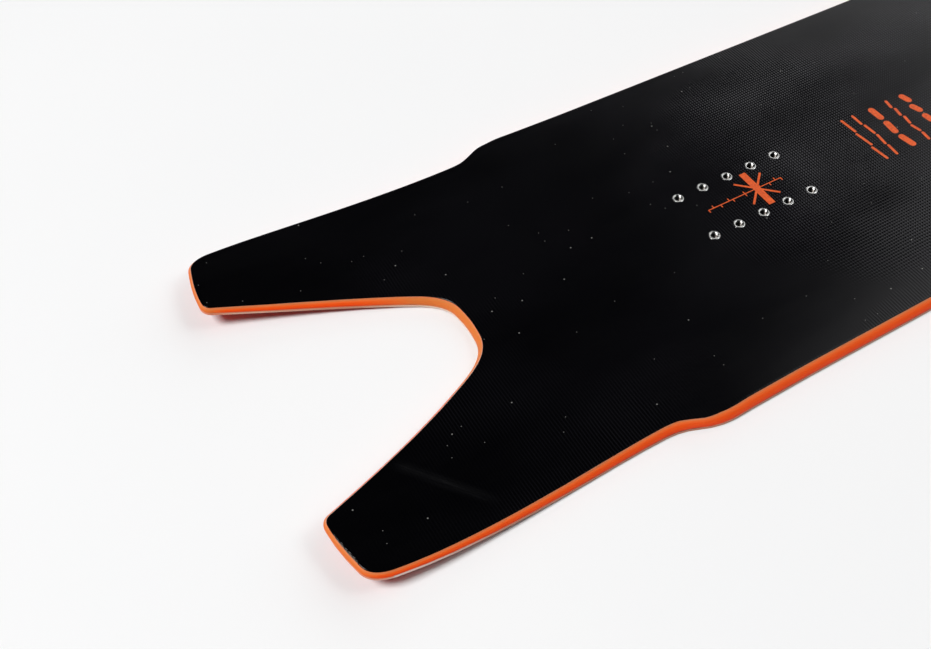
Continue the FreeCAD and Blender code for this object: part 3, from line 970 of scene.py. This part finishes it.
def sidewalls(rim, finish):
    """Right, left and notch bands, which meet on the tail tips, and the nose spacer."""
    count = len(rim)

    def nearest(x, y):
        return min(range(count), key=lambda i: math.dist(rim[i][:2], (x, y)))

    split = nearest(SIDE_NOTCH_SPLIT_X, -HALF_LENGTH)
    mirror_split = count - split
    ahead_y = SPACER_START_Y + SPACER_MARGIN_AHEAD
    behind_y = SPACER_START_Y - SPACER_MARGIN_BEHIND
    before_spacer = max(i for i in range(split) if rim[i][1] > ahead_y)
    after_spacer = min(i for i in range(split) if rim[i][1] < behind_y)
    right = rim[before_spacer : split + 1]
    left = rim[mirror_split : count - before_spacer + 1]
    sidewall(right, "right", finish, True)
    sidewall(left, "left", finish, True)
    notch = rim[split : mirror_split + 1]
    sidewall(notch, "notch", finish, False)
    nose = rim[count - after_spacer :] + rim[: after_spacer + 1]
    nose_spacer(nose, finish)


# -------------------------------------------------------------------- inserts
def thread_radius(turn, z):
    """Radius of the tapped bore's wall at an angle and a height."""
    phase = (z / THREAD_PITCH - turn) % 1.0
    depth = 1 - abs(2 * phase - 1)
    return THREAD_CREST_R + (THREAD_ROOT_R - THREAD_CREST_R) * min(1.0, depth * THREAD_FLANK_GAIN)


def insert_rings():
    """(height, radius or None for the thread) of each ring: flange, barrel, mouth bead, bore."""
    rings = [
        (INSERT_BOTTOM, INSERT_FLANGE_R - INSERT_NICK),
        (INSERT_BOTTOM + INSERT_NICK, INSERT_FLANGE_R),
        (INSERT_FLANGE_TOP - INSERT_NICK, INSERT_FLANGE_R),
        (INSERT_FLANGE_TOP, INSERT_FLANGE_R - INSERT_NICK),
        (INSERT_FLANGE_TOP, INSERT_BARREL_R + INSERT_NICK),
        (INSERT_FLANGE_TOP + INSERT_NICK, INSERT_BARREL_R),
    ]
    top = INSERT_MOUTH - MOUTH_BEAD_H
    bead_r = (INSERT_BARREL_R - THREAD_CREST_R) / 2
    for i in range(MOUTH_BEAD_STEPS):
        turn = math.pi * i / MOUTH_BEAD_STEPS
        height = top + MOUTH_BEAD_H * math.sin(turn)
        rings.append((height, INSERT_BARREL_R - bead_r * (1 - math.cos(turn))))
    for i in range(THREAD_STEPS + 1):
        rings.append((top - (top - INSERT_FLOOR) * i / THREAD_STEPS, None))
    return rings


def threaded_insert(bm, x, y):
    """One flanged insert: rings of vertices round its axis, closed at both ends."""
    rows = []
    for z, radius in insert_rings():
        row = []
        for i in range(HOLE_SIDES):
            turn = i / HOLE_SIDES
            r = thread_radius(turn, z) if radius is None else radius
            angle = 2 * math.pi * turn
            row.append(bm.verts.new((x + r * math.cos(angle), y + r * math.sin(angle), z)))
        rows.append(row)
    for lower, upper in zip(rows, rows[1:]):
        bridge(bm, lower, upper, closed=True)
    for row in (rows[0], rows[-1]):
        bm.faces.new(row)


def insert_pack(node_name, pack_y, finish):
    """Ten inserts in two rows."""
    bm = bmesh.new()
    for x, y in insert_positions(pack_y):
        threaded_insert(bm, x, y)
    return add_piece(bm, node_name + "_threaded", finish, [node_name])


# ---------------------------------------------------------------------- print
def stroke(start, end, width, rounded=False):
    """Outline of a straight stroke between two points, with square or round ends."""
    start = Vector(start)
    end = Vector(end)
    run = (end - start).normalized()
    side = Vector((-run.y, run.x)) * width / 2
    if not rounded:
        return [start + side, start - side, end - side, end + side]
    outline = []
    heading = math.atan2(run.y, run.x)
    for centre, first in ((start, math.pi / 2), (end, -math.pi / 2)):
        for i in range(STROKE_END_STEPS + 1):
            turn = heading + first + math.pi * i / STROKE_END_STEPS
            outline.append(centre + Vector((math.cos(turn), math.sin(turn))) * width / 2)
    return outline


def ink(name, strokes, finish, thick=INK_T):
    """One flat printed shape made of strokes that may cross."""
    bm = bmesh.new()
    points = []
    faces = []
    for outline in strokes:
        faces.append(list(range(len(points), len(points) + len(outline))))
        points += outline
    found, _, triangles, _, _, _ = delaunay_2d_cdt(points, [], faces, 1, CUT_TOLERANCE)
    top = [bm.verts.new((p.x, p.y, THICK_MIDDLE + thick)) for p in found]
    low = [bm.verts.new((p.x, p.y, THICK_MIDDLE)) for p in found]
    sides = []
    for a, b, c in triangles:
        bm.faces.new((top[a], top[b], top[c]))
        bm.faces.new((low[c], low[b], low[a]))
        sides += [(a, b), (b, c), (c, a)]
    inner = {(end, start) for start, end in sides}
    for start, end in sides:
        if (start, end) not in inner:
            bm.faces.new((low[start], low[end], top[end], top[start]))
    for vert in [vert for vert in bm.verts if not vert.link_faces]:
        bm.verts.remove(vert)
    return add_piece(bm, name, finish)


def stance_scale(finish):
    """Line along the rear pack's middle, with centimetre ticks and half-inch ticks."""
    first_end = (0, REAR_PACK_Y - SCALE_HALF_LENGTH)
    last_end = (0, REAR_PACK_Y + SCALE_HALF_LENGTH)
    strokes = [stroke(first_end, last_end, SCALE_LINE_W)]
    farthest = SCALE_HALF_LENGTH - SCALE_LINE_W / 2
    centimetres = [i * CENTIMETRE for i in range(-3, 4)]
    half_inches = [i * HALF_INCH for i in range(-2, 3)]
    for side, places in ((1, centimetres), (-1, half_inches)):
        for offset in places:
            tick_y = REAR_PACK_Y + max(-farthest, min(farthest, offset))
            strokes.append(stroke((0, tick_y), (side * TICK_LENGTH, tick_y), SCALE_LINE_W))
    return ink("print_stance_scale", strokes, finish)


def stance_marker(finish):
    """Wide bar and two crossed strokes that mark the recommended stance."""
    bar = stroke((-MARKER_BAR_HALF, MARKER_Y), (MARKER_BAR_HALF, MARKER_Y), MARKER_BAR_W)
    strokes = [bar]
    reach = MARKER_CROSS_HALF
    for side in (-1, 1):
        start = (-side * reach, MARKER_Y - reach)
        end = (side * reach, MARKER_Y + reach)
        strokes.append(stroke(start, end, MARKER_CROSS_W))
    return ink("print_stance_marker", strokes, finish, INK_T + INK_OVERPRINT)


def plain_dashes(finish):
    """Rows of plain dashes, ahead of the rear pack."""
    rng = random.Random(5)
    strokes = []
    for row_y, thick, dashes in DASH_ROWS:
        width = 2 * DASH_HALF_SPAN / dashes
        gap = thick * DASH_GAP_SHARE
        for i in range(dashes):
            middle_y = row_y + rng.uniform(-DASH_LIFT, DASH_LIFT)
            tilt = rng.uniform(-DASH_TILT, DASH_TILT)
            start = (-DASH_HALF_SPAN + i * width + gap, middle_y - tilt)
            end = (-DASH_HALF_SPAN + (i + 1) * width - gap, middle_y + tilt)
            strokes.append(stroke(start, end, thick, rounded=True))
    return ink("print_plain_dashes", strokes, finish)


# --------------------------------------------------------------------- studio
def softbox(name, turned, raised, width, height, watts):
    """Large lamp that faces the lit point from LAMP_DISTANCE away."""
    turn = math.radians(turned)
    rise = math.radians(raised)
    level = math.cos(rise)
    away = Vector((math.sin(turn) * level, math.cos(turn) * level, math.sin(rise)))
    data = bpy.data.lights.new(name, "AREA")
    data.shape = "RECTANGLE"
    data.size = width
    data.size_y = height
    data.energy = watts
    obj = bpy.data.objects.new(name, data)
    obj.location = Vector(LIT_POINT) + away * LAMP_DISTANCE
    obj.rotation_euler = away.to_track_quat("Z", "Y").to_euler()
    bpy.context.scene.collection.objects.link(obj)


def floor(finish):
    """Large square just under the board."""
    bm = bmesh.new()
    half = FLOOR_HALF_W
    corners = [(-half, -half), (half, -half), (half, half), (-half, half)]
    bm.faces.new([bm.verts.new((x, y, -FLOOR_DROP)) for x, y in corners])
    mesh = bpy.data.meshes.new("studio_floor")
    bm.to_mesh(mesh)
    bm.free()
    mesh.materials.append(finish)
    obj = bpy.data.objects.new("studio_floor", mesh)
    bpy.context.scene.collection.objects.link(obj)


def world():
    """Weak white light from all round that mirrors don't show."""
    made = bpy.data.worlds.new("studio")
    made.use_nodes = True
    background = made.node_tree.nodes["Background"]
    background.inputs["Color"].default_value = (1.0, 1.0, 1.0, 1.0)
    background.inputs["Strength"].default_value = AMBIENT
    made.cycles_visibility.glossy = False
    bpy.context.scene.world = made


def studio():
    world()
    for lamp in SOFTBOXES:
        softbox(*lamp)
    data = bpy.data.cameras.new("camera")
    data.lens = CAMERA_LENS
    data.sensor_width = CAMERA_SENSOR_W
    data.clip_start = CAMERA_CLIP_START
    camera = bpy.data.objects.new("camera", data)
    camera.location = CAMERA_LOCATION
    camera.rotation_euler = [math.radians(angle) for angle in CAMERA_DEGREES]
    bpy.context.scene.collection.objects.link(camera)
    bpy.context.scene.camera = camera
    bpy.context.scene.view_settings.view_transform = "Standard"


# -------------------------------------------------------------------- assembly
def dress_cad_nodes(nodes):
    """Procedural materials for the CAD nodes that stay."""
    glass = fibreglass_material()
    steel = steel_material()
    rubber = rubber_material()
    pale_wood = (colour(0.72, 0.58, 0.36), colour(0.52, 0.38, 0.20))
    dark_wood = (colour(0.55, 0.34, 0.19), colour(0.38, 0.21, 0.11))
    finishes = {
        "base_sheet": base_material(),
        "bottom_glass": glass,
        "top_glass": glass,
        "steel_edge": steel,
        "edge_foil": rubber,
        "core_strip_poplar": wood_material("planed_poplar", *pale_wood, flecks=0.25),
        "core_strip_beech": wood_material("planed_beech", *dark_wood, flecks=0.7),
    }
    for name, obj in nodes.items():
        for start, finish in finishes.items():
            if name.startswith(start):
                obj.data.materials.clear()
                obj.data.materials.append(finish)


def main():
    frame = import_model()
    dress_cad_nodes(frame["nodes"])
    rim = board_rim()
    topsheet(rim, topsheet_material())
    sidewalls(rim, sidewall_material())
    steel = insert_material()
    insert_pack("rear_inserts", REAR_PACK_Y, steel)
    insert_pack("front_inserts", FRONT_PACK_Y, steel)
    orange = print_material()
    stance_scale(orange)
    stance_marker(orange)
    plain_dashes(orange)
    floor(floor_material())
    studio()


main()
